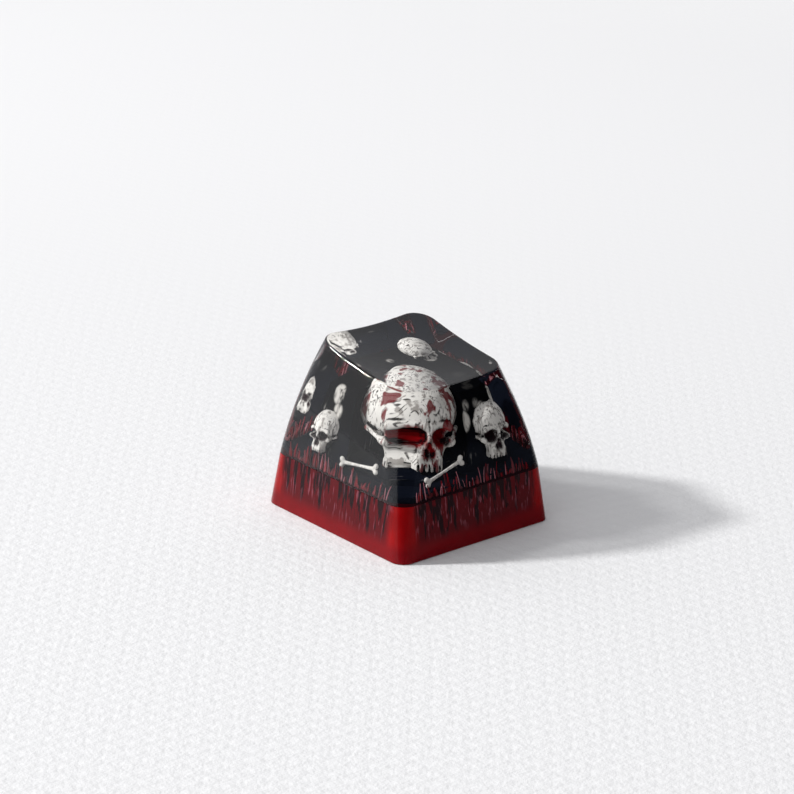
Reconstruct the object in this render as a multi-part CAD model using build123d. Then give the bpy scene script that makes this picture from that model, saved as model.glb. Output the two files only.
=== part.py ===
from build123d import *
import os
from math import cos, hypot, radians, sin, tan

# Outer form, in millimetres. The origin is the middle of the rim that the cap stands on,
# +Z is up, and -Y is the front, towards the typist.
base_width = 18.3          # square footprint at the rim
height = 14.95             # plane of the dish corners above the rim, over the stem
tilt_deg = 10.0            # slope of that plane, rising to the back
dish_width = 12.4          # dish, left to right
dish_front = 5.15          # front edge of the dish, ahead of the stem
dish_back = 6.35           # back edge of the dish, behind the stem
dish_depth = 0.62          # middle of the dish below its corners
side_bulge = 0.69          # how far each wall bows out between rim and dish
front_bulge = 0.67
back_bulge = 0.36
rim_corner = 1.35          # upright edges, at the rim and at the dish
dish_corner = 1.95
dish_edge = 0.32           # rounding between the dish and the walls

# Red base: the last pour, with the hollow and the stem
base_height = 5.0
wall = 1.55
hollow_depth = 4.4
hollow_corner = 1.0
stem_diameter = 5.5
stem_recess = 0.5          # end of the stem above the rim
socket_span = 4.1          # arms of the cross-shaped socket
socket_arm_x = 1.35
socket_arm_y = 1.17
socket_depth = 3.8

# Fringe where the dark and the red resin ran into each other
fringe_inset = 0.3         # clear resin in front of the red strands
strand_depth = 0.3         # thickness of a strand, front to back
strand_pitch = 1.4         # spacing of the strands, and of the dark drips
drip_pitch = 2.6
strand_rise = 2.1          # longest red strand above the base
drip_fall = 2.4            # longest dark drip below the top of the base
fringe_root = 0.45         # foot of the strands in the piece that they belong to
fringe_margin = 2.2        # bare stretch at each upright edge

# Dark core that backs the sculpted pieces
slab_thickness = 0.6       # edge of the dark pour, over the red base
socket_backing = 0.3       # clear resin between the tower and the end of an eye socket
tower_cover = 3.0          # clear resin between the tower and the plane of the dish corners
core_corner = 1.0          # cut at the upright corners of slab and tower
tower_edge = 0.5
niche_step = 0.35          # floor of the large skull's niche above the slab

# Sculpted pieces
large_skull_width = 6.1
front_skull_width = 4.1
small_skull_width = 3.05   # at the other sides and on the tower
skull_skin = 0.8           # clear resin in front of a face that looks out of a wall
skull_step = 0.4           # teeth of those skulls above the slab
skull_bed = 0.25           # depth that the large skull is bedded into the floor of its niche
crown_cover = 1.0          # clear resin over the skull on the tower
bone_length = 5.0
bone_gap = 0.25            # clear resin between a bone and the red strands

slope = tan(radians(tilt_deg))
half_base = base_width / 2
half_dish = dish_width / 2

# Plan of the scene inside, in shares of the half widths
niche_radius = 0.53 * half_base        # hollow in the tower that the large skull stands in
niche_reach = 0.40 * half_base         # its axis, to the left and to the front of the stem
large_skull_x = -0.28 * half_dish
large_skull_y = -0.29 * dish_front
left_skull_y = 0.58 * dish_back
front_skull_x = 0.62 * half_dish
right_skull_y = 0.12 * dish_back
back_skull_x = -0.16 * half_dish
crown_skull_x = 0.45 * half_dish
crown_skull_y = 0.52 * dish_back
front_bone_x = -0.42 * half_dish
left_bone_y = -0.31 * dish_front


def bow(start, end, bulge, rise):
    """Place of a wall at a share of its height, from a straight line and a shallow bow."""
    return start + (end - start) * rise + 4 * bulge * rise * (1 - rise)


def walls(rise):
    """Half width, front and back of the cap's section at a share of its height."""
    half = bow(half_base, half_dish, side_bulge, rise)
    front = -bow(half_base, dish_front, front_bulge, rise)
    back = bow(half_base, dish_back, back_bulge, rise)
    return half, front, back


def rise_at(z, y=0.0):
    return z / (height + slope * y)


def side_wall(z, y=0.0):
    return walls(rise_at(z, y))[0]


def front_wall(z):
    return walls(rise_at(z, -dish_front))[1]


def back_wall(z):
    return walls(rise_at(z, dish_back))[2]


def section(rise):
    """Rounded rectangle of the outer walls, on a plane that tilts with its height."""
    half, front, back = walls(rise)
    lean = hypot(1, slope * rise)
    middle = (front + back) / 2
    plane = Plane(
        origin=(0, middle, rise * (height + slope * middle)),
        x_dir=(1, 0, 0),
        z_dir=(0, -slope * rise, 1),
    )
    corner = rim_corner + (dish_corner - rim_corner) * rise
    return plane * RectangleRounded(2 * half, (back - front) * lean, corner)


def outer_form():
    """The whole cap as one block: bowed walls under a spherical dish."""
    past_the_dish = 1.08
    block = loft([section(past_the_dish * step / 8) for step in range(9)])
    middle = (dish_back - dish_front) / 2
    half_depth = (dish_back + dish_front) / 2
    reach = hypot(half_dish, half_depth) - dish_corner * (hypot(1, 1) - 1)
    radius = (reach**2 + dish_depth**2) / (2 * dish_depth)
    dish_plane = Plane(
        origin=(0, middle, height + slope * middle),
        x_dir=(1, 0, 0),
        z_dir=(0, -slope, 1),
    )
    block -= dish_plane * Pos(0, 0, radius - dish_depth) * Rot(90, 0, 0) * Sphere(radius)
    dish_face = block.faces().filter_by(GeomType.SPHERE)[0]
    return fillet(dish_face.edges(), dish_edge)


def side_planes():
    """One plane on each side, leaning with the wall at the top of the red base, facing out."""
    step = 1.0
    half, front, back = side_wall(base_height), front_wall(base_height), back_wall(base_height)
    half_lean = side_wall(base_height + step) - half
    front_lean = front_wall(base_height + step) - front
    back_lean = back_wall(base_height + step) - back
    middle = (front + back) / 2
    depth = back - front
    return [
        (Plane((-half, middle, base_height), (0, -1, 0), (-step, 0, -half_lean)), depth),
        (Plane((half, middle, base_height), (0, 1, 0), (step, 0, -half_lean)), depth),
        (Plane((0, front, base_height), (1, 0, 0), (0, -step, front_lean)), 2 * half),
        (Plane((0, back, base_height), (-1, 0, 0), (0, step, -back_lean)), 2 * half),
    ]


def comb(length, pitch, reach, root, phase):
    """Face of pointed strands of uneven reach, standing up from a straight root."""
    count = int(length / pitch)
    pitch = length / count
    points = [(-length / 2, -root)]
    for i in range(count):
        left = -length / 2 + i * pitch
        wave = 0.5 + 0.5 * sin(2.4 * i + phase) * cos(1.1 * i + 2 * phase)
        tip = reach * (0.3 + 0.7 * wave)
        drift = pitch * (0.5 + 0.2 * sin(3.7 * i + phase))
        points += [(left, 0.12 * reach), (left + drift, tip)]
    points += [(length / 2, 0.12 * reach), (length / 2, -root)]
    return make_face(Polyline(*points, close=True))


def fringe(inset, pitch, reach, up):
    """Strands on the four sides, as thin plates behind the walls."""
    plates = []
    for side, (plane, length) in enumerate(side_planes()):
        flat = length - 2 * fringe_margin
        face = comb(flat, pitch, reach, fringe_root, phase=1.7 * side + (0 if up else 0.9))
        turn = Rot(0, 0, 0) if up else Rot(0, 0, 180)
        plate = extrude(turn * face, amount=strand_depth, dir=(0, 0, -1))
        plates.append(plane * Pos(0, 0, -inset) * plate)
    return plates


def inset_plan(z, inset):
    """Rectangle at a height, a set distance behind the outer walls."""
    half = side_wall(z) - inset
    front = front_wall(z) + inset
    back = back_wall(z) - inset
    return Pos(0, (front + back) / 2, z) * Rectangle(2 * half, back - front)


def hollow():
    """Room under the cap, with walls of one thickness."""
    mouth, ceiling = [
        fillet(plan.vertices(), hollow_corner)
        for plan in (inset_plan(0, wall), inset_plan(hollow_depth, wall))
    ]
    return loft([mouth, ceiling], ruled=True)


def cross_socket():
    arms = Box(socket_span, socket_arm_x, socket_depth) + Box(socket_arm_y, socket_span, socket_depth)
    return Pos(0, 0, stem_recess + socket_depth / 2) * arms


def red_base(joint, strands, drips):
    """Bottom pour under the joint face: skirt, hollow, stem and the strands that rise from it."""
    body = loft([section(0), joint], ruled=True) - hollow()
    stem_length = base_height - stem_recess
    body += Pos(0, 0, stem_recess + stem_length / 2) * Cylinder(stem_diameter / 2, stem_length)
    return body - cross_socket() + strands - drips


def leaning_block(plane, foot, top, low_z, high_z):
    """Prism across the cap, as wide as foot at low_z and as wide as top at high_z."""
    corners = [(foot[0], low_z), (foot[1], low_z), (top[1], high_z), (top[0], high_z)]
    return extrude(plane * make_face(Polyline(*corners, close=True)), amount=base_width, both=True)


def tower():
    """Upper part of the dark core, a set distance behind the outer walls."""
    low_z, high_z = base_height + slab_thickness, height - tower_cover
    inset = skull_skin + socket_deep * front_skull_width + socket_backing
    half_widths = [side_wall(z) - inset for z in (low_z, high_z)]
    sides = [(-half, half) for half in half_widths]
    ends = [(front_wall(z) + inset, back_wall(z) - inset) for z in (low_z, high_z)]
    body = leaning_block(Plane.XZ, *sides, low_z, high_z) & leaning_block(Plane.YZ, *ends, low_z, high_z)
    uprights = body.edges().filter_by_position(Axis.Z, low_z, high_z, inclusive=(False, False))
    body = chamfer(uprights, core_corner)
    return chamfer(body.faces().sort_by(Axis.Z)[-1].edges(), tower_edge)


def dark_core(drips):
    """Dark pour: a slab with drips, and a tower with a niche at the left front."""
    slab_plan = inset_plan(base_height, fringe_inset + strand_depth)
    slab = extrude(chamfer(slab_plan.vertices(), core_corner), slab_thickness)
    niche_floor = base_height + slab_thickness + niche_step
    niche = Pos(-niche_reach, -niche_reach, niche_floor + height / 2) * Cylinder(niche_radius, height)
    return slab + (tower() - niche) + drips


def mirrored(half_outline):
    return half_outline + [(-x, z) for x, z in reversed(half_outline)]


def outline_block(plane, points, size):
    """Prism of an outline given in shares of a size, long enough to cut a whole piece."""
    face = make_face(Polyline(*[(u * size, v * size) for u, v in points], close=True))
    return extrude(plane * face, amount=size, both=True)


# Outlines of a skull with no lower jaw, in shares of its width, about the middle of the braincase
skull_front = mirrored([
    (0.16, 0.48), (0.38, 0.33), (0.49, 0.08), (0.44, -0.16), (0.465, -0.27), (0.29, -0.44),
    (0.235, -0.70),
])
skull_side = [
    (0.30, 0.47), (0.58, 0.31), (0.69, 0.0), (0.52, -0.30), (0.08, -0.38), (-0.20, -0.70),
    (-0.60, -0.70), (-0.57, -0.41), (-0.60, -0.30), (-0.53, -0.10), (-0.48, 0.22), (-0.20, 0.45),
    (0.05, 0.50),
]
skull_plan = mirrored([
    (0.14, -0.615), (0.36, -0.44), (0.47, -0.22), (0.50, 0.14), (0.40, 0.50), (0.15, 0.68),
])
# Vault of the skull seen at a slant, with the face left clear, and the slants it is seen at
skull_vault = mirrored([
    (0.14, 0.525), (0.42, 0.36), (0.545, 0.02), (0.63, -0.12), (0.63, -1.0),
])
vault_turns = [(0, 40), (0, -40), (38, 0)]
face_reach = 0.62          # front of the face, ahead of the middle of the braincase
teeth_drop = 0.70          # ends of the teeth, below it
socket_splay = 10.0        # turn of each eye socket away from the middle, in degrees
nose_start = 0.48          # nose opening: where it begins, ahead of it, and its depth
nose_deep = 0.30
tooth_cut = 0.12           # gap between two teeth: depth, and the place of its middle
tooth_ahead = 0.61
tooth_below = 0.65
socket_out = 0.205
socket_drop = 0.19
socket_mouth = 0.17        # radius of an eye socket where it meets the face
socket_sides_count = 6
socket_deep = 0.30
socket_taper = 14.0
nose_opening = [(0.0, -0.28), (0.085, -0.44), (0.0, -0.41), (-0.085, -0.44)]
tooth_gap_share = 0.022
tooth_pitch_share = 0.10


def skull(width, turns=(), gaps=0):
    """Skull from its outlines, with its vault rounded at these slants and gaps cut in its teeth."""
    body = (
        outline_block(Plane.XZ, skull_front, width)
        & outline_block(Plane.YZ, skull_side, width)
        & outline_block(Plane.XY, skull_plan, width)
    )
    for nod, turn in turns:
        body &= Rot(nod, 0, turn) * outline_block(Plane.XZ, skull_vault, width)
    rim = RegularPolygon(socket_mouth * width, socket_sides_count)
    well = extrude(rim, socket_deep * width, taper=socket_taper)
    for side in (-1, 1):
        eye = Pos(side * socket_out * width, -face_reach * width, -socket_drop * width)
        body -= eye * Rot(-90, 0, side * socket_splay) * well
    nose = make_face(Polyline(*[(x * width, z * width) for x, z in nose_opening], close=True))
    body -= Pos(0, -nose_start * width, 0) * extrude(Plane.XZ * nose, amount=nose_deep * width)
    cut = Box(tooth_gap_share * width, tooth_cut * width, tooth_cut * width)
    for i in range(gaps):
        x = (i - (gaps - 1) / 2) * tooth_pitch_share
        body -= Pos(x * width, -tooth_ahead * width, -tooth_below * width) * cut
    return body


# Outlines of a long bone with two knuckles at each end, in shares of its length
bone_front = mirrored([
    (0.015, 0.465), (0.055, 0.50), (0.10, 0.44), (0.05, 0.33), (0.05, -0.33), (0.10, -0.44),
    (0.055, -0.50), (0.015, -0.465),
])
bone_side = mirrored([
    (0.03, 0.50), (0.06, 0.43), (0.045, 0.33), (0.045, -0.33), (0.06, -0.43), (0.03, -0.50),
])
bone_half_depth = 0.06


def bone(length):
    return outline_block(Plane.XZ, bone_front, length) & outline_block(Plane.YZ, bone_side, length)


def placed(shape, place, yaw, pitch, roll):
    return Pos(*place) * Rot(0, 0, yaw) * Rot(-pitch, 0, 0) * Rot(0, roll, 0) * shape


def sculpted_pieces():
    """Each sculpted piece by name, set behind the wall that it faces."""
    slab_top = base_height + slab_thickness
    large_z = slab_top + niche_step - skull_bed + teeth_drop * large_skull_width
    front_z = slab_top + skull_step + teeth_drop * front_skull_width
    small_z = slab_top + skull_step + teeth_drop * small_skull_width
    front_y = front_wall(front_z) + skull_skin + face_reach * front_skull_width
    reach = skull_skin + face_reach * small_skull_width
    left_x = reach - side_wall(small_z, left_skull_y)
    right_x = side_wall(small_z, right_skull_y) - reach
    back_y = back_wall(small_z) - reach
    dish_floor = height + slope * crown_skull_y - dish_depth
    crown_z = dish_floor - crown_cover - small_skull_width / 2
    bone_reach = 2 * bone_half_depth * bone_length
    bone_z = slab_top + niche_step + bone_reach
    bone_inset = fringe_inset + strand_depth + bone_gap + bone_reach
    bone_front_y = front_wall(bone_z) + bone_inset
    bone_left_x = bone_inset - side_wall(bone_z)
    large = skull(large_skull_width, vault_turns, gaps=4)
    middling = skull(front_skull_width)
    small = skull(small_skull_width)
    shaft = bone(bone_length)
    return {
        "large_skull": placed(large, (large_skull_x, large_skull_y, large_z), yaw=-26, pitch=7, roll=4),
        "left_skull": placed(small, (left_x, left_skull_y, small_z), yaw=-98, pitch=6, roll=-5),
        "front_skull": placed(middling, (front_skull_x, front_y, front_z), yaw=10, pitch=8, roll=6),
        "right_skull": placed(small, (right_x, right_skull_y, small_z), yaw=82, pitch=5, roll=4),
        "back_skull": placed(small, (back_skull_x, back_y, small_z), yaw=172, pitch=6, roll=-4),
        "crown_skull": placed(small, (crown_skull_x, crown_skull_y, crown_z), yaw=-8, pitch=14, roll=-6),
        "front_bone": placed(shaft, (front_bone_x, bone_front_y, bone_z), yaw=4, pitch=14, roll=78),
        "left_bone": placed(shaft, (bone_left_x, left_bone_y, bone_z), yaw=-94, pitch=12, roll=80),
    }


def main():
    os.makedirs("parts", exist_ok=True)
    block = split(outer_form(), Plane.XY.offset(base_height), keep=Keep.TOP)
    joint = block.faces().sort_by(Axis.Z)[0]
    strands = fringe(fringe_inset, strand_pitch, strand_rise, up=True)
    drips = fringe(fringe_inset + strand_depth, drip_pitch, drip_fall, up=False)
    pieces = sculpted_pieces()
    inserts = list(pieces.values())
    core = dark_core(drips) - strands
    nodes = {
        "clear_body": block - core - strands - inserts,
        "red_base": red_base(joint, strands, drips),
        "dark_core": core - inserts,
    }
    nodes.update(pieces)
    for name, shape in nodes.items():
        export_step(shape, f"parts/{name}.step")


main()
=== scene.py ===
import math

import bpy
import numpy as np
from mathutils import Matrix, Vector


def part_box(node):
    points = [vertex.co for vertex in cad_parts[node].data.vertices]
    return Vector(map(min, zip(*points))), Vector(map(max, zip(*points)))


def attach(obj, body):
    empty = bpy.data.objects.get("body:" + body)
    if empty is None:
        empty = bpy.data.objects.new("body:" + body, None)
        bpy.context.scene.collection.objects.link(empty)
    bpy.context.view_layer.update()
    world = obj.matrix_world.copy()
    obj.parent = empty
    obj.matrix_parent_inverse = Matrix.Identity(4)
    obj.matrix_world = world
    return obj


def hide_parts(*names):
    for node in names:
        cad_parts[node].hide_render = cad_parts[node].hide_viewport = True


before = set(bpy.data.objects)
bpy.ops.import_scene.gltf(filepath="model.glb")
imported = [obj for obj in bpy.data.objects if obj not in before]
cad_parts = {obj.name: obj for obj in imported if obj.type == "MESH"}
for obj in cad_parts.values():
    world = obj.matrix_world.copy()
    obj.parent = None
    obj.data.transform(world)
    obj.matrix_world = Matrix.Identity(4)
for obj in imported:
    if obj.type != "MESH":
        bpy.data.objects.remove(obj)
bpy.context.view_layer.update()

# Sizes are in millimetres, in the part's frame: +Z up, -Y the front.
# The floor and the lamp are in metres.
MM = 0.001
random = np.random.default_rng(7)

# Sizes read from the frame
half_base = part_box("red_base")[1].x / MM
base_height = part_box("clear_body")[0].z / MM

# Outer form, as in the part
height = 14.95
slope = math.tan(math.radians(10))
half_dish = 6.2
dish_front = 5.15
dish_back = 6.35
dish_depth = 0.62
side_bulge, front_bulge, back_bulge = 0.69, 0.67, 0.36
rim_corner, dish_corner = 1.35, 1.95
dish_edge = 0.32

# Red base, as in the part
wall = 1.55
hollow_depth = 4.4
hollow_corner = 1.0
stem_radius = 2.75
stem_recess = 0.5
socket_span, socket_arm_x, socket_arm_y = 4.1, 1.35, 1.17
socket_depth = 3.8
foot_edge = 0.12           # rounding of the rim that the cap stands on
bond = 0.02                # the red pour reaches this far into the clear one, so they look bonded
bond_scale = 0.994         # its top is this much smaller in plan, to stay inside the clear walls

# Fringe of strands behind the walls
strands_a_side = 50
fringe_margin = 2.0        # kept free at the corners
fringe_inset = 0.2
fringe_depth = 0.4
strand_rise = 2.1
strand_thickness = 0.08
strand_sway = 0.25
strand_taper = 0.82
strand_jitter = (0.1, 0.9)   # of its own stretch of the wall
least_rise = 0.15            # share of the rise that the shortest have
rise_spread = (1.5, 2.2)     # beta distribution of the rises above that
red_widths, pale_widths = (0.14, 0.44), (0.06, 0.15)
pale_from = 0.5              # strands at least this pale have the pale ones' widths
strand_tones = [0.0, 0.06, 0.15, 0.7]           # how pale a strand can be
tone_chances = [0.3, 0.3, 0.2, 0.2]
strand_levels = (-0.2, 0.25, 0.6, 0.88, 1.0)    # shares of its rise, the first down in the red base

# Fineness of the meshes
side_columns, corner_columns = 18, 10
wall_rings, edge_rings, dish_rings, skirt_rings = 28, 9, 20, 10
large_cell, small_cell, bone_cell = 0.017, 0.022, 0.014    # shares of a sculpted piece's size

# Directions on the floor: to the right and to the back of the photo's view, and to the front of the cap
view_right, view_back = (0.73, -0.68, 0.0), (0.68, 0.73, 0.0)
cap_front = (0.23, -0.97, 0.0)


# Outer form

def bow(start, end, bulge, rise):
    """Distance of a wall from the middle at a share of the height, on a line that bulges."""
    return start + (end - start) * rise + 4 * bulge * rise * (1 - rise)


class Columns:
    """Points round a rounded rectangle, each between two points on its corner arcs."""

    def __init__(self, along_side, along_corner):
        # Sides in x and y that each corner is on, and the angle at which its arc starts
        corners = [(1, -1, -90), (1, 1, 0), (-1, 1, 90), (-1, -1, 180)]
        first, last, share = [], [], []
        for i, (sx, sy, start) in enumerate(corners):
            for turn in np.linspace(0, 90, along_corner, endpoint=False):
                first.append((sx, sy, start + turn))
                last.append((sx, sy, start + turn))
                share.append(0.0)
            nx, ny, following = corners[(i + 1) % 4]
            for part in np.linspace(0, 1, along_side, endpoint=False):
                first.append((sx, sy, start + 90))
                last.append((nx, ny, following))
                share.append(part)
        self.first, self.last, self.share = np.array(first), np.array(last), np.array(share)

    def plan(self, half, front, back, corner):
        """The points on a rectangle with these sides and this corner radius."""
        def on_corner(ends):
            sx, sy, turn = ends.T
            x = sx * (half - corner) + corner * np.cos(np.radians(turn))
            y = np.where(sy > 0, back - corner, front + corner) + corner * np.sin(np.radians(turn))
            return np.stack([x, y], 1)
        start, end = on_corner(self.first), on_corner(self.last)
        return start + (end - start) * self.share[:, None]


columns = Columns(side_columns, corner_columns)


def wall_points(rise):
    """A point of the outer wall on each column, at that column's share of the height."""
    half = bow(half_base, half_dish, side_bulge, rise)
    front = -bow(half_base, dish_front, front_bulge, rise)
    back = bow(half_base, dish_back, back_bulge, rise)
    plan = columns.plan(half, front, back, rim_corner + (dish_corner - rim_corner) * rise)
    return np.column_stack([plan, rise * (height + slope * plan[:, 1])])


def rise_at(z):
    """Share of the height at which each column reaches the level z."""
    rounds = 20
    rise = np.full(len(columns.share), z / height)
    for _ in range(rounds):
        rise = z / (height + slope * wall_points(rise)[:, 1])
    return rise


def unit(vectors):
    return vectors / np.linalg.norm(vectors, axis=-1, keepdims=True)


def dish_sphere():
    """Centre and radius of the sphere that scoops the dish, and the dish's deepest point."""
    corner_share = 0.41    # a rounded corner falls short of a square one by about this much of its radius
    middle = (dish_back - dish_front) / 2
    reach = math.hypot(half_dish, (dish_back + dish_front) / 2) - dish_corner * corner_share
    radius = (reach**2 + dish_depth**2) / (2 * dish_depth)
    normal = unit(np.array([0, -slope, 1.0]))
    lip = np.array([0, middle, height + slope * middle])
    return lip + normal * (radius - dish_depth), radius, lip - normal * dish_depth


def lip_rise(centre, radius):
    """Share of the height at which each column meets the dish, found by halving."""
    below, above, halvings = 0.7, 1.1, 40
    low, high = np.full(len(columns.share), below), np.full(len(columns.share), above)
    for _ in range(halvings):
        middle = (low + high) / 2
        cut = np.linalg.norm(wall_points(middle) - centre, axis=1) < radius
        low, high = np.where(cut, low, middle), np.where(cut, middle, high)
    return low


def clear_loops():
    """Rings of points from the joint with the red base up the walls, over the edge and into the dish."""
    centre, radius, deepest = dish_sphere()
    brim = lip_rise(centre, radius)
    lip = wall_points(brim)
    step = 0.02
    down = unit(wall_points(brim - step) - lip)
    outward = unit(lip - centre)
    inward = deepest - lip
    inward = unit(inward - outward * np.sum(inward * outward, axis=1, keepdims=True))
    half_angle = np.arccos(np.sum(down * inward, axis=1, keepdims=True)) / 2
    setback = dish_edge / np.tan(half_angle)
    hub = lip + unit(down + inward) * dish_edge / np.sin(half_angle)
    start, end = lip + down * setback - hub, lip + inward * setback - hub
    loops = []
    foot = rise_at(base_height)
    top = brim - setback[:, 0] / height
    for share in np.linspace(0, 1, wall_rings, endpoint=False):
        loops.append(wall_points(foot + (top - foot) * share))
    for share in np.linspace(0, 1, edge_rings):
        loops.append(hub + unit(start * (1 - share) + end * share) * dish_edge)
    edge = hub + end
    for share in np.linspace(0, 1, dish_rings, endpoint=False)[1:]:
        point = edge + (deepest - edge) * share
        loops.append(centre + unit(point - centre) * radius)
    return loops, deepest


def skin(loops, first_cap, last_cap):
    """Vertices and faces of a closed skin over rings of points, with a fan at each end."""
    count = len(loops[0])
    points = np.vstack(loops + [[first_cap], [last_cap]])
    faces = []
    for level in range(len(loops) - 1):
        for i in range(count):
            j = (i + 1) % count
            faces.append((level * count + i, level * count + j,
                          (level + 1) * count + j, (level + 1) * count + i))
    bottom, top = len(points) - 2, len(points) - 1
    final = (len(loops) - 1) * count
    for i in range(count):
        j = (i + 1) % count
        faces.append((bottom, j, i))
        faces.append((top, final + i, final + j))
    return points, faces


def add_piece(name, points, faces, material, nodes):
    """A mesh piece in the frame, standing for CAD nodes."""
    mesh = bpy.data.meshes.new(name)
    mesh.from_pydata((np.asarray(points) * MM).tolist(), [], [list(map(int, f)) for f in faces])
    mesh.validate()
    mesh.materials.append(material)
    mesh.shade_smooth()
    piece = bpy.data.objects.new(name, mesh)
    bpy.context.scene.collection.objects.link(piece)
    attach(piece, "root")
    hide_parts(*nodes)
    return piece


def add_attribute(piece, name, values):
    """A number on each vertex, for the shaders."""
    attribute = piece.data.attributes.new(name, "FLOAT", "POINT")
    attribute.data.foreach_set("value", np.asarray(values, np.float32))


# Red base

def socket_outline():
    """Cross in the stem, with a point at each corner and as many points as there are columns."""
    end, x, y = socket_span / 2, socket_arm_y / 2, socket_arm_x / 2
    corners = np.array([
        (end, -y), (end, y), (x, y), (x, end), (-x, end), (-x, y),
        (-end, y), (-end, -y), (-x, -y), (-x, -end), (x, -end), (x, -y),
    ])
    end_steps = 8
    arm_steps = (side_columns + corner_columns - end_steps) // 2
    ring = []
    for i, corner in enumerate(corners):
        steps = end_steps if i % 3 == 0 else arm_steps
        way = corners[(i + 1) % len(corners)] - corner
        ring += [corner + way * step / steps for step in range(steps)]
    return np.roll(ring, corner_columns + side_columns // 2 - end_steps // 2, axis=0)


def base_loops():
    """Rings down the skirt, under the rim, up the hollow, down the stem and into its socket."""
    joint = wall_points(rise_at(base_height))
    foot = wall_points(np.zeros(len(columns.share)))
    up = np.array([0, 0, 1.0])
    loops = [joint * [1, 1, 0] * bond_scale + up * (base_height + bond)]
    below_joint = 0.004
    for share in np.linspace(below_joint, 1 - foot_edge / base_height, skirt_rings):
        loops.append(joint + (foot - joint) * share)
    for turn in np.radians([30, 60, 90]):
        inset = foot_edge * (1 - math.cos(turn))
        loops.append(foot * (1 - inset / half_base) + up * foot_edge * (1 - math.sin(turn)))
    mouth = columns.plan(half_base - wall, wall - half_base, half_base - wall, hollow_corner)
    skirt = joint + (foot - joint) * (1 - hollow_depth / base_height)
    half = skirt[:, 0].max() - wall
    back, front = skirt[:, 1].max() - wall, skirt[:, 1].min() + wall
    ceiling = columns.plan(half, front, back, hollow_corner)
    angle = np.arctan2(ceiling[:, 1], ceiling[:, 0])
    stem = np.column_stack([np.cos(angle), np.sin(angle)]) * stem_radius
    cross = socket_outline()
    for plan, z in [
        (mouth, 0), (ceiling, hollow_depth), (stem, hollow_depth),
        (stem, stem_recess), (cross, stem_recess), (cross, stem_recess + socket_depth),
    ]:
        loops.append(np.column_stack([plan, np.full(len(plan), z)]))
    return loops


def strands():
    """Thin pointed blades that rise from the red base behind each flat wall, and how pale each is."""
    low, high = wall_points(rise_at(base_height)), wall_points(rise_at(base_height + strand_rise))
    section = ((-0.5, 0), (0.5, 0), (0.5, strand_thickness), (-0.5, strand_thickness))
    points, faces, tones = [], [], []
    for axis, sign in ((0, -1), (0, 1), (1, -1), (1, 1)):
        along = 1 - axis
        turn = sign if axis == 0 else -sign     # the faces of every blade look outward
        start = sign * (sign * low[:, axis]).max()
        lean = (sign * (sign * high[:, axis]).max() - start) / strand_rise
        first, last = low[:, along].min() + fringe_margin, low[:, along].max() - fringe_margin
        for i in range(strands_a_side):
            place = first + (last - first) * (i + random.uniform(*strand_jitter)) / strands_a_side
            rise = strand_rise * (least_rise + (1 - least_rise) * random.beta(*rise_spread))
            inset = fringe_inset + random.uniform(0, fringe_depth - strand_thickness)
            bend = random.uniform(-strand_sway, strand_sway)
            tone = random.choice(strand_tones, p=tone_chances)
            width = random.uniform(*(red_widths if tone < pale_from else pale_widths))
            base = len(points)
            for share in strand_levels:
                z = share * rise
                grown = max(share, 0)
                breadth = width * (1 - strand_taper * grown ** 1.5)
                for u, depth in section:
                    point = np.zeros(3)
                    point[along] = place + bend * grown ** 2 + turn * u * breadth
                    point[axis] = start + lean * z - sign * (inset + depth)
                    point[2] = base_height + z
                    points.append(point)
                    tones.append(tone)
            top = base + 4 * (len(strand_levels) - 1)
            for a in range(base, top, 4):
                for u in range(4):
                    v = (u + 1) % 4
                    faces.append((a + u, a + v, a + 4 + v, a + 4 + u))
            faces.append((base + 3, base + 2, base + 1, base))
            faces.append((top, top + 1, top + 2, top + 3))
    return points, faces, tones


# Sculpted pieces, as distance fields turned into meshes. A field is below 0 inside its form.

def ellipsoid(grid, centre, radii):
    scaled = (grid - np.array(centre)) / np.array(radii)
    reach = np.linalg.norm(scaled, axis=-1)
    return reach * (reach - 1) / np.maximum(np.linalg.norm(scaled / np.array(radii), axis=-1), 1e-9)


def capsule(grid, start, end, radius):
    start, end = np.array(start), np.array(end)
    line = end - start
    share = np.clip((grid - start) @ line / (line @ line), 0, 1)
    return np.linalg.norm(grid - start - share[..., None] * line, axis=-1) - radius


def rounded_box(grid, centre, half, edge):
    over = np.abs(grid - np.array(centre)) - np.array(half) + edge
    return np.linalg.norm(np.maximum(over, 0), axis=-1) + np.minimum(over.max(-1), 0) - edge


def blend(a, b, soft):
    """Union of two fields with a soft seam."""
    share = np.clip(0.5 + 0.5 * (b - a) / soft, 0, 1)
    return b + (a - b) * share - soft * share * (1 - share)


def carve(a, b, soft):
    """The first field with the second cut out of it, with a soft edge."""
    return -blend(-a, b, soft)


def both_sides(grid):
    """The grid folded to its right half, so that a shape on it comes out on both sides."""
    return np.concatenate([np.abs(grid[..., :1]), grid[..., 1:]], axis=-1)


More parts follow.
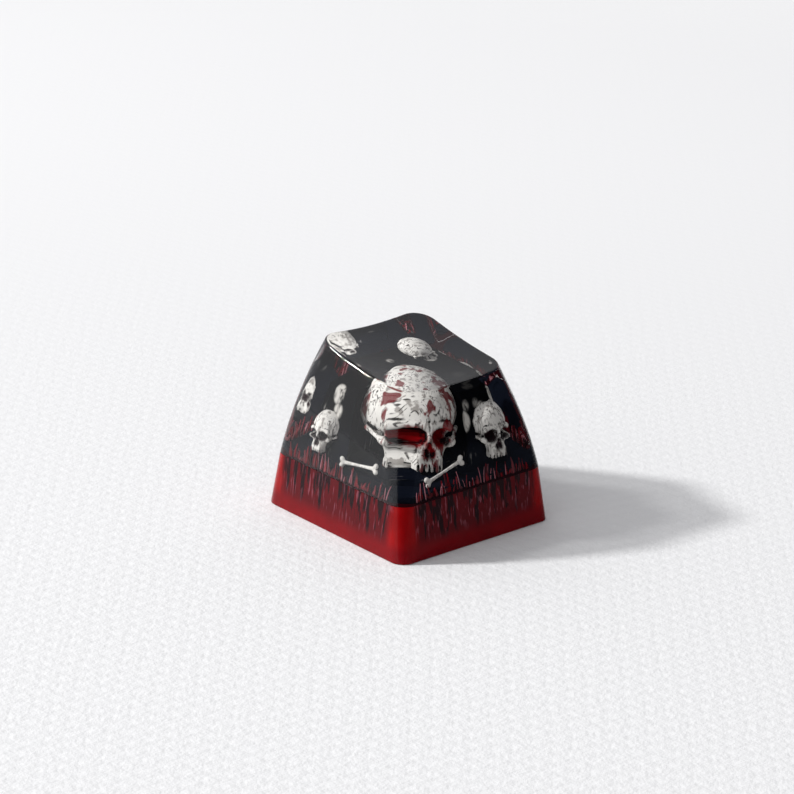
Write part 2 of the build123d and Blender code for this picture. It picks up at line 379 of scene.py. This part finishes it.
def skull_field(grid):
    """Skull with no lower jaw, a unit wide, facing -Y, and the field of its openings."""
    folded = both_sides(grid)
    vault = ellipsoid(grid, (0, 0.09, 0.06), (0.49, 0.59, 0.44))
    forehead = ellipsoid(grid, (0, -0.22, 0.05), (0.40, 0.32, 0.32))
    brows = capsule(folded, (0.04, -0.53, -0.05), (0.34, -0.44, -0.06), 0.065)
    face = ellipsoid(grid, (0, -0.34, -0.33), (0.29, 0.23, 0.22))
    cheeks = ellipsoid(folded, (0.33, -0.41, -0.285), (0.12, 0.12, 0.07))
    cheek_arches = capsule(folded, (0.40, -0.36, -0.27), (0.47, 0.02, -0.19), 0.038)
    upper_jaw = rounded_box(grid, (0, -0.42, -0.52), (0.225, 0.17, 0.10), 0.08)
    nose_bone = capsule(grid, (0, -0.55, -0.13), (0, -0.60, -0.29), 0.045)
    tooth_angle, half_gap, rounding = 0.165, 0.012, 0.07
    around = np.arctan2(grid[..., 0], -(grid[..., 1] + 0.05)) / tooth_angle
    from_gap = np.abs(np.mod(around + 0.5, 1) - 0.5) * rounding
    teeth = rounded_box(grid, (0, -0.42, -0.62), (0.225, 0.185, 0.085), 0.05)
    teeth = np.maximum(teeth, half_gap - from_gap)
    palate = rounded_box(grid, (0, -0.36, -0.74), (0.15, 0.19, 0.14), 0.05)
    temples = ellipsoid(folded, (0.54, -0.24, -0.10), (0.11, 0.22, 0.17))
    eyes = ellipsoid(folded, (0.205, -0.58, -0.195), (0.155, 0.30, 0.135))
    nose = blend(ellipsoid(folded, (0.045, -0.62, -0.42), (0.055, 0.16, 0.07)),
                 ellipsoid(grid, (0, -0.62, -0.34), (0.045, 0.14, 0.09)), 0.03)
    body = vault
    for form, soft in (
        (forehead, 0.08), (brows, 0.06), (face, 0.06), (cheeks, 0.06),
        (cheek_arches, 0.04), (upper_jaw, 0.07), (nose_bone, 0.04), (teeth, 0.015),
    ):
        body = blend(body, form, soft)
    for form, soft in ((palate, 0.03), (temples, 0.06), (eyes, 0.03), (nose, 0.02)):
        body = carve(body, form, soft)
    return body, np.minimum(eyes, nose)


def bone_field(grid):
    """Long bone a unit long, upright, with two knuckles at each end, and no openings."""
    folded = np.concatenate([np.abs(grid[..., :1]), grid[..., 1:2], np.abs(grid[..., 2:])], axis=-1)
    shaft = capsule(grid, (0, 0, -0.40), (0, 0, 0.40), 0.042)
    waist = 0.012 * np.cos(np.clip(grid[..., 2] * 3.4, -math.pi, math.pi))
    knuckles = ellipsoid(folded, (0.052, 0, 0.445), (0.05, 0.055, 0.055))
    body = blend(shaft + waist, knuckles, 0.05)
    return body, np.full(body.shape, 1.0)


def lattice(low, high, cell):
    axes = [np.arange(a, b + cell, cell) for a, b in zip(low, high)]
    return np.stack(np.meshgrid(*axes, indexing="ij"), -1)


def surface(field, low, high, cell):
    """Mesh of a field's zero level: one vertex in each cell it crosses, one quad at each crossed edge.

    With it come, for each vertex, how much the surface bends there and the field of the openings.
    """
    grid = lattice(low, high, cell)
    values, openings = field(grid)
    # Forms thinner than a cell are smoothed out, so that few sheets share an edge
    for axis in range(3):
        values = (np.roll(values, 1, axis) + 2 * values + np.roll(values, -1, axis)) / 4
    shape = np.array(values.shape)
    total = np.zeros((*(shape - 1), 3))
    count = np.zeros(shape - 1)
    crossings = []
    for axis in range(3):
        a, b = np.moveaxis(values, axis, 0)[:-1], np.moveaxis(values, axis, 0)[1:]
        crossed = (a < 0) != (b < 0)
        share = np.where(crossed, a / np.where(crossed, a - b, 1), 0)
        place = np.moveaxis(grid, axis, 0)[:-1].copy()
        place[..., axis] += share * cell
        crossings.append((axis, crossed, a < 0))
        total_view, count_view = np.moveaxis(total, axis, 0), np.moveaxis(count, axis, 0)
        n, m = total_view.shape[1:3]
        for du in (0, 1):
            for dv in (0, 1):
                part = crossed[:, du:du + n, dv:dv + m]
                total_view += place[:, du:du + n, dv:dv + m] * part[..., None]
                count_view += part
    active = count > 0
    index = np.cumsum(active).reshape(active.shape) - 1
    points = total[active] / count[active][:, None]
    faces = []
    for axis, crossed, inside in crossings:
        ids = np.moveaxis(index, axis, 0)
        inner = crossed[:, 1:-1, 1:-1]
        flip = inside[:, 1:-1, 1:-1][inner] == (axis == 1)
        quads = np.stack([ids[:, :-1, :-1][inner], ids[:, 1:, :-1][inner],
                          ids[:, 1:, 1:][inner], ids[:, :-1, 1:][inner]], 1)
        faces.append(np.where(flip[:, None], quads[:, ::-1], quads))
    nearest = tuple(np.clip(np.round((points - low) / cell).astype(int), 1, shape - 2).T)
    bend = sum(
        np.roll(values, 1, axis)[nearest] + np.roll(values, -1, axis)[nearest] - 2 * values[nearest]
        for axis in range(3)
    ) / cell
    return points, np.vstack(faces), bend, openings[nearest]


def turned(yaw, pitch, roll):
    """Rotation matrix for angles in degrees."""
    return np.array(
        Matrix.Rotation(math.radians(yaw), 3, "Z")
        @ Matrix.Rotation(math.radians(-pitch), 3, "X")
        @ Matrix.Rotation(math.radians(roll), 3, "Y")
    )


# Shaders

class Value:
    """Output of a shader node. Arithmetic on it adds Math nodes."""

    def __init__(self, graph, socket):
        self.graph, self.socket = graph, socket

    def __add__(self, other):
        return self.graph.math("ADD", self, other)

    def __sub__(self, other):
        return self.graph.math("SUBTRACT", self, other)

    def __rsub__(self, other):
        return self.graph.math("SUBTRACT", other, self)

    def __mul__(self, other):
        return self.graph.math("MULTIPLY", self, other)

    __radd__, __rmul__ = __add__, __mul__

    def between(self, low, high):
        """0 below low, 1 above high, smooth in between. The other way round if low is above high."""
        sockets = {"Value": self, "From Min": low, "From Max": high}
        return self.graph.node("ShaderNodeMapRange", {"interpolation_type": "SMOOTHSTEP"}, sockets)


class Graph:
    """Node tree of a material or a world."""

    def __init__(self, owner):
        owner.use_nodes = True
        self.tree = owner.node_tree
        self.tree.nodes.clear()

    def node(self, kind, settings, sockets, output=0):
        """One output of a new node with these settings and these values or links on its sockets."""
        made = self.tree.nodes.new(kind)
        for name, value in settings.items():
            setattr(made, name, value)
        for name, value in sockets.items():
            if isinstance(value, Value):
                self.tree.links.new(value.socket, made.inputs[name])
            else:
                made.inputs[name].default_value = value
        return Value(self, made.outputs[output]) if made.outputs else None

    def math(self, operation, *values):
        return self.node("ShaderNodeMath", {"operation": operation}, dict(enumerate(values)))

    def mix(self, share, first, second):
        """Colour between two, by the numbers of the Mix node's colour sockets."""
        sockets = {0: share, 6: first, 7: second}
        return self.node("ShaderNodeMix", {"data_type": "RGBA"}, sockets, output=2)

    def place(self):
        """Where a point of the piece is, in metres."""
        return self.node("ShaderNodeTexCoord", {}, {}, output="Object")

    def millimetres(self, vector, axis):
        return self.node("ShaderNodeSeparateXYZ", {}, {"Vector": vector}, output=axis) * (1 / MM)

    def toward(self, vector, way):
        """How far a vector reaches in a direction."""
        sockets = {0: vector, 1: way}
        return self.node("ShaderNodeVectorMath", {"operation": "DOT_PRODUCT"}, sockets, output="Value")

    def noise(self, vector, scale, detail=3.0):
        return self.node("ShaderNodeTexNoise", {}, {"Vector": vector, "Scale": scale, "Detail": detail})

    def stretched(self, vector, factors):
        return self.node("ShaderNodeVectorMath", {"operation": "MULTIPLY"}, {0: vector, 1: factors})

    def bump(self, level, strength, distance):
        sockets = {"Height": level, "Strength": strength, "Distance": distance}
        return self.node("ShaderNodeBump", {}, sockets)

    def attribute(self, name):
        return self.node("ShaderNodeAttribute", {"attribute_name": name}, {}, output="Fac")

    def ray(self, kind):
        """1 for a ray of that kind, else 0."""
        return self.node("ShaderNodeLightPath", {}, {}, output=f"Is {kind} Ray")

    def mirrored(self):
        """1 where the stage is seen as a mirror image and not through the clear resin, else 0."""
        return self.ray("Glossy") * (1 - self.ray("Transmission"))

    def mix_shader(self, share, first, second):
        return self.node("ShaderNodeMixShader", {}, {0: share, 1: first, 2: second})

    def surface(self, shader, kind="ShaderNodeOutputMaterial"):
        self.node(kind, {}, {"Surface": shader})


def new_material(name):
    material = bpy.data.materials.new(name)
    return material, Graph(material)


def clear_resin():
    """Polished clear resin with faint waves in its surface.

    Light reaches what is cast into it, and what gets through the whole block to the floor is faint.
    """
    let_in, let_out = (0.22, 0.22, 0.22, 1), (0.95, 0.95, 0.95, 1)
    material, g = new_material("clear_resin")
    waves = g.noise(g.place(), 260.0, 1.0)
    glass = g.node("ShaderNodeBsdfPrincipled", {}, {
        "Base Color": (1, 1, 1, 1), "Roughness": 0.01, "IOR": 1.5, "Transmission Weight": 1.0,
        "Normal": g.bump(waves, 0.04, 0.0002),
    })
    into = g.node("ShaderNodeBsdfTransparent", {}, {"Color": let_in})
    out_of = g.node("ShaderNodeBsdfTransparent", {}, {"Color": let_out})
    leaving = g.node("ShaderNodeNewGeometry", {}, {}, output="Backfacing")
    straight = g.math("MAXIMUM", g.ray("Shadow"), g.ray("Diffuse"))
    g.surface(g.mix_shader(straight, glass, g.mix_shader(leaving, into, out_of)))
    return material


def red_resin():
    """Translucent red, with painted light: brighter red at the upright edges and along the foot.

    Dark and pale streaks show on the flats of the skirt, where the dark pour ran down.
    """
    # The edge and foot reds are painted light, brighter where light comes through the resin
    edge_lit_red = (0.30, 0.001, 0.002, 1)
    flat_red = (0.09, 0.001, 0.004, 1)
    foot_lit_red = (0.19, 0.001, 0.004, 1)
    cloud_red = (0.07, 0.0008, 0.002, 1)
    dark_streak = (0.013, 0.0015, 0.003, 1)
    pale_streak = (0.30, 0.09, 0.12, 1)
    edge_width, flat_from = 1.6, 2.6
    # Levels above the foot
    foot_full, foot_end = 0.8, 2.2
    streaks_end, dark_full, pale_full = 1.2, 2.4, 3.0
    sparse, dense = 1.4, 5.0
    material, g = new_material("red_resin")
    place = g.place()
    x, y, z = [g.millimetres(place, axis) for axis in range(3)]
    x, y = g.math("ABSOLUTE", x), g.math("ABSOLUTE", y)
    hollow = half_base - wall
    flat = g.math("MINIMUM", x, y).between(half_base - edge_width, half_base - flat_from)
    streaked = flat * g.math("MAXIMUM", x, y).between(hollow + 0.3, hollow + 0.6)
    fine = g.noise(g.stretched(place, (1, 1, 0.07)), 4200.0, 2.0)
    broad = g.noise(g.stretched(place, (1, 1, 0.08)), 2200.0, 2.0)
    dark = (broad + 0.15 * z.between(sparse, dense)).between(0.59, 0.67)
    dark = dark * z.between(streaks_end, dark_full) * streaked
    pale = fine.between(0.58, 0.66) * z.between(streaks_end, pale_full) * streaked * (1 - 0.5 * dark)
    cloud = g.noise(place, 420.0, 2.0)
    # Painted light: brighter red at the upright edges and along the foot
    red = g.mix(flat, edge_lit_red, flat_red)
    red = g.mix(z.between(foot_end, foot_full), red, foot_lit_red)
    red = g.mix(0.25 * cloud.between(0.4, 0.7), red, cloud_red)
    red = g.mix(dark, red, dark_streak)
    red = g.mix(0.55 * pale, red, pale_streak)
    g.surface(g.node("ShaderNodeBsdfPrincipled", {}, {
        "Base Color": red, "Roughness": 0.10, "IOR": 1.5, "Specular IOR Level": 0.2,
        "Subsurface Weight": 0.2, "Subsurface Radius": (1.0, 0.05, 0.05), "Subsurface Scale": 0.001,
        "Normal": g.bump(cloud, 0.06, 0.0002),
    }))
    return material


def strand_resin():
    """Red and pale strands with a dark root. Bonded into the clear resin, they have no gloss."""
    dark_red, bright_red = (0.02, 0.0008, 0.0015, 1), (0.16, 0.002, 0.006, 1)
    pale, root = (0.42, 0.17, 0.20, 1), (0.016, 0.0012, 0.0025, 1)
    root_height = 0.2
    material, g = new_material("strand_resin")
    place = g.place()
    z = g.millimetres(place, 2)
    streak = g.noise(g.stretched(place, (1, 1, 0.1)), 3600.0, 2.0)
    red = g.mix(streak.between(0.35, 0.65), dark_red, bright_red)
    red = g.mix(g.attribute("pale"), red, pale)
    red = g.mix(z.between(base_height + root_height, base_height + bond), red, root)
    g.surface(g.node("ShaderNodeBsdfPrincipled", {}, {
        "Base Color": red, "Roughness": 0.6, "Specular IOR Level": 0.0,
    }))
    return material


def dark_resin():
    """Near-black pour, with a navy painted reflection low down, a few scratches, and pale dabs of paint
    higher up.
    """
    # The navy is a painted reflection over the black resin, low down
    black, navy_reflection = (0.0012, 0.0014, 0.002, 1), (0.0045, 0.006, 0.011, 1)
    dab_white, scratch_grey = (0.52, 0.50, 0.46, 1), (0.20, 0.195, 0.19, 1)
    # Levels above the foot
    reflection_full, reflection_end = 6.0, 9.5
    dabs_end, dabs_full = 8.0, 9.0
    scratches_low, scratches_high = (5.7, 6.3), (8.4, 7.0)
    material, g = new_material("dark_resin")
    place = g.place()
    z = g.millimetres(place, 2)
    # Painted reflection: navy low down, black above
    colour = g.mix(z.between(reflection_end, reflection_full), black, navy_reflection)
    cell = {"Vector": g.stretched(place, (1, 1, 0.7)), "Scale": 520.0, "Randomness": 0.8}
    reach = g.node("ShaderNodeTexVoronoi", {}, cell, output="Distance")
    tint = g.node("ShaderNodeTexVoronoi", {}, cell, output="Color")
    chance = g.node("ShaderNodeSeparateColor", {}, {"Color": tint})
    dabs = reach.between(0.42, 0.30) * chance.between(0.48, 0.52) * z.between(dabs_end, dabs_full)
    brush = g.noise(g.stretched(place, (1, 1, 0.3)), 2800.0, 3.0)
    colour = g.mix(dabs * brush.between(0.25, 0.55), colour, dab_white)
    scratch = g.noise(g.stretched(place, (1, 1, 0.14)), 2600.0, 2.0).between(0.60, 0.68)
    low_band = z.between(*scratches_low) * z.between(*scratches_high)
    cloud = g.noise(place, 330.0)
    colour = g.mix(scratch * low_band * cloud.between(0.45, 0.55), colour, scratch_grey)
    g.surface(g.node("ShaderNodeBsdfPrincipled", {}, {
        "Base Color": colour, "Roughness": 0.6, "Specular IOR Level": 0.0,
    }))
    return material


def painted_bone(name, blood, lines):
    """Hand-painted bone white with a dark wash in the hollows, splashes and scratched lines.

    The openings are dark. blood and lines say how much red there is and how strong the lines are.
    """
    shaded_white, white = (0.52, 0.50, 0.46, 1), (0.80, 0.78, 0.74, 1)
    grey, line_black = (0.16, 0.14, 0.125, 1), (0.02, 0.016, 0.016, 1)
    wash_black, splash_red = (0.006, 0.005, 0.005, 1), (0.13, 0.005, 0.008, 1)
    deep_black, deep_red = (0.008, 0.001, 0.002, 1), (0.012 + blood, 0.002, 0.004, 1)
    material, g = new_material(name)
    place = g.place()
    grain = g.noise(g.stretched(place, (1, 1, 0.35)), 2600.0, 4.0)
    blots = g.noise(place, 900.0)
    wash = (g.attribute("hollow") + 0.55 * grain).between(0.46, 0.70)
    swirl = g.noise(g.stretched(place, (1.0, 1.0, 0.3)), 760.0, 1.0) * 11
    broken = g.noise(place, 2600.0, 1.0).between(0.42, 0.54)
    strokes = g.math("PINGPONG", swirl, 0.5).between(0.15, 0.06) * blots.between(0.40, 0.52) * broken
    splash = g.noise(g.stretched(place, (1, 1, 0.45)), 800.0, 3.0).between(0.74 - blood, 0.80 - blood)
    bone = g.mix(blots, shaded_white, white)
    bone = g.mix(grain.between(0.52, 0.62) * (0.7 * lines), bone, grey)
    bone = g.mix(strokes * (0.9 * lines), bone, line_black)
    bone = g.mix(wash, bone, wash_black)
    bone = g.mix(splash * 0.9, bone, splash_red)
    deep = g.mix(blots.between(0.45, 0.6), deep_black, deep_red)
    bone = g.mix(g.attribute("opening"), bone, deep)
    g.surface(g.node("ShaderNodeBsdfPrincipled", {}, {
        "Base Color": bone, "Roughness": 0.6, "Specular IOR Level": 0.0,
        "Normal": g.bump(grain, 0.35, 0.00008),
    }))
    return material


# Pieces

clear_material = clear_resin()
red_material = red_resin()
strand_material = strand_resin()
dark_material = dark_resin()

loops, deepest = clear_loops()
points, faces = skin(loops, (0, 0, base_height), deepest)
clear_piece = add_piece("clear_resin_body", points, faces, clear_material, ["clear_body"])
clear_piece.data.set_sharp_from_angle(angle=math.radians(50))

loops = base_loops()
points, faces = skin(loops, (0, 0, base_height + bond), (0, 0, stem_recess + socket_depth))
faces = [tuple(reversed(face)) for face in faces]
red_piece = add_piece("red_resin_base", points, faces, red_material, ["red_base"])
red_piece.data.set_sharp_from_angle(angle=math.radians(40))
# The joint, seen through the clear resin, is as dark and dull as the root of the strands
red_piece.data.materials.append(strand_material)
for face in red_piece.data.polygons:
    face.material_index = int(face.center.z > (base_height - bond) * MM)

points, faces, tones = strands()
strand_piece = add_piece("red_resin_strands", points, faces, strand_material, ["red_base"])
add_attribute(strand_piece, "pale", tones)

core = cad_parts["dark_core"]
core.data.materials.clear()
core.data.materials.append(dark_material)

skull_low, skull_high = np.array([-0.58, -0.74, -0.78]), np.array([0.58, 0.78, 0.58])
bone_low, bone_high = np.array([-0.16, -0.12, -0.56]), np.array([0.16, 0.12, 0.56])
forms = {
    "large": surface(skull_field, skull_low, skull_high, large_cell),
    "small": surface(skull_field, skull_low, skull_high, small_cell),
    "bone": surface(bone_field, bone_low, bone_high, bone_cell),
}
paints = {
    "large": painted_bone("painted_bone_red", blood=0.20, lines=1.0),
    "small": painted_bone("painted_bone_lined", blood=0.0, lines=1.0),
    "bone": painted_bone("painted_bone_plain", blood=0.0, lines=0.4),
}
wash_start, wash_gain = 0.1, 1.8    # dark wash on a flat surface, and how much a hollow adds
opening_fade = 0.05
# Node, form, size, yaw, pitch and roll of each sculpted piece, as in the part
sculpted = [
    ("large_skull", "large", 6.1, -26, 7, 4),
    ("left_skull", "small", 3.05, -98, 6, -5),
    ("front_skull", "small", 4.1, 10, 8, 6),
    ("right_skull", "small", 3.05, 82, 5, 4),
    ("back_skull", "small", 3.05, 172, 6, -4),
    ("crown_skull", "small", 3.05, -8, 14, -6),
    ("front_bone", "bone", 5.0, 4, 14, 78),
    ("left_bone", "bone", 5.0, -94, 12, 80),
]
for node, form, size, yaw, pitch, roll in sculpted:
    points, faces, bend, openings = forms[form]
    points = points * size @ turned(yaw, pitch, roll).T
    low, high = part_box(node)
    points += (np.array(low) + np.array(high)) / 2 / MM - (points.min(0) + points.max(0)) / 2
    piece = add_piece(f"{node}_carved", points, faces, paints[form], [node])
    add_attribute(piece, "hollow", np.clip(wash_start - wash_gain * bend, 0, 1))
    add_attribute(piece, "opening", np.clip(1 - openings / opening_fade, 0, 1))


# Stage

def floor_cloth(half):
    """White woven cloth, smoother toward the back, that fades out into the white around it.

    It ends sooner to the right of the view. Mirror images show little of it before the front wall.
    """
    thread_grey, thread_white, far_white = [(v, v, v, 1) for v in (0.83, 0.87, 0.88)]
    column_pitch, row_pitch = 0.0031, 0.00175
    smooth_back, woven_front = 0.09, -0.04
    white_start, white_full = 0.02, 0.12
    right_end, right_start = 0.13, 0.06
    front_start, front_full, dimming = 0.006, 0.0075, 0.8
    fade_start = 0.6 * half
    material, g = new_material("floor_cloth")
    place = g.place()
    right, back, front = [g.toward(place, way) for way in (view_right, view_back, cap_front)]
    uneven = g.noise(place, 330.0, 3.0) * 3
    column = g.math("SINE", right * (math.tau / column_pitch) + uneven)
    row = g.math("SINE", back * (math.tau / row_pitch) + uneven)
    weave = 0.24 * column * row + 0.12 * g.math("ABSOLUTE", column)
    weave = weave + 0.85 * g.noise(place, 2300.0, 2.0)
    faint = 0.15 + 0.85 * back.between(smooth_back, woven_front)
    weave = 0.5 + (weave - 0.5) * faint
    colour = g.mix(weave, thread_grey, thread_white)
    colour = g.mix(back.between(white_start, white_full), colour, far_white)
    cloth = g.node("ShaderNodeBsdfPrincipled", {}, {
        "Base Color": colour, "Roughness": 0.9, "Specular IOR Level": 0.1,
        "Normal": g.bump(weave, 0.25, 0.0003),
    })
    reach = g.node("ShaderNodeVectorMath", {"operation": "LENGTH"}, {0: place}, output="Value")
    dimmed = dimming * (g.mirrored() * front.between(front_start, front_full))
    shown = reach.between(half, fade_start) * right.between(right_end, right_start) * (1 - dimmed)
    nothing = g.node("ShaderNodeBsdfTransparent", {}, {})
    g.surface(g.mix_shader(shown, nothing, cloth))
    return material


def add_floor():
    half = 0.25
    below_foot = -0.01 * MM
    mesh = bpy.data.meshes.new("floor")
    plan = ((-half, -half), (half, -half), (half, half), (-half, half))
    mesh.from_pydata([(x, y, below_foot) for x, y in plan], [], [(0, 1, 2, 3)])
    mesh.materials.append(floor_cloth(half))
    floor = bpy.data.objects.new("floor", mesh)
    bpy.context.scene.collection.objects.link(floor)


def add_world():
    """White to the eye. It lights more from the left, and at the right front it is dark, as a room is.

    In mirror images the dark reaches round to the front.
    """
    eye_white = (0.91, 0.91, 0.92, 1)
    dim_side, bright_side = (0.56, 0.56, 0.58, 1), (0.88, 0.88, 0.90, 1)
    dark_low, dark_high = (0.04, 0.042, 0.05, 1), (0.01, 0.01, 0.012, 1)
    view_left, right_front, up = (-0.73, 0.68, 0.0), (0.62, -0.75, 0.22), (0, 0, 1)
    world = bpy.data.worlds.new("studio")
    bpy.context.scene.world = world
    g = Graph(world)
    direction = g.node("ShaderNodeTexCoord", {}, {}, output="Generated")
    room = g.mix(g.toward(direction, view_left).between(0.1, 0.9), dim_side, bright_side)
    unlit = g.mix(g.toward(direction, up).between(0.07, 0.12), dark_low, dark_high)
    dark = g.toward(direction, right_front).between(0.5, 0.85)
    mirrored_dark = g.mirrored() * g.toward(direction, cap_front).between(0.0, 0.25)
    room = g.mix(g.math("MAXIMUM", dark, mirrored_dark), room, unlit)
    light = g.mix(g.ray("Camera") + g.ray("Transmission"), room, eye_white)
    background = g.node("ShaderNodeBackground", {}, {"Color": light, "Strength": 1.0})
    g.surface(background, "ShaderNodeOutputWorld")


def add_lamp(name, direction, distance, size, power):
    """Round lamp aimed at the frame's origin."""
    lamp = bpy.data.lights.new(name, "AREA")
    lamp.shape, lamp.size, lamp.energy = "DISK", size, power
    holder = bpy.data.objects.new(name, lamp)
    bpy.context.scene.collection.objects.link(holder)
    direction = Vector(direction).normalized()
    holder.location = direction * distance
    holder.rotation_euler = direction.to_track_quat("Z", "Y").to_euler()


def add_camera():
    """The photo's view, fitted to the outline of the cap."""
    azimuth, elevation, roll = math.radians(-43.08), math.radians(21.14), math.radians(2.94)
    distance, target = 300.0, Vector((0, 0, 7))
    aside, above = -1.528, 3.518
    focal_pixels, picture_pixels = 3368, 794
    back = Vector((math.sin(azimuth) * math.cos(elevation), -math.cos(azimuth) * math.cos(elevation),
                   math.sin(elevation)))
    right = Vector((math.cos(azimuth), math.sin(azimuth), 0))
    up = back.cross(right)
    data = bpy.data.cameras.new("camera")
    data.sensor_width = 36
    data.lens = data.sensor_width * focal_pixels / picture_pixels
    data.clip_start, data.clip_end = 0.01, 10
    camera = bpy.data.objects.new("camera", data)
    bpy.context.scene.collection.objects.link(camera)
    turn = Matrix((right, up, back)).transposed() @ Matrix.Rotation(roll, 3, "Z")
    place = (target + back * distance + right * aside + up * above) * MM
    camera.matrix_world = Matrix.Translation(place) @ turn.to_4x4()
    bpy.context.scene.camera = camera


add_floor()
add_world()
add_lamp("key", direction=(-0.65, 0.535, 0.537), distance=1.60, size=0.15, power=24.5)
add_camera()
bpy.context.scene.view_settings.view_transform = "Standard"
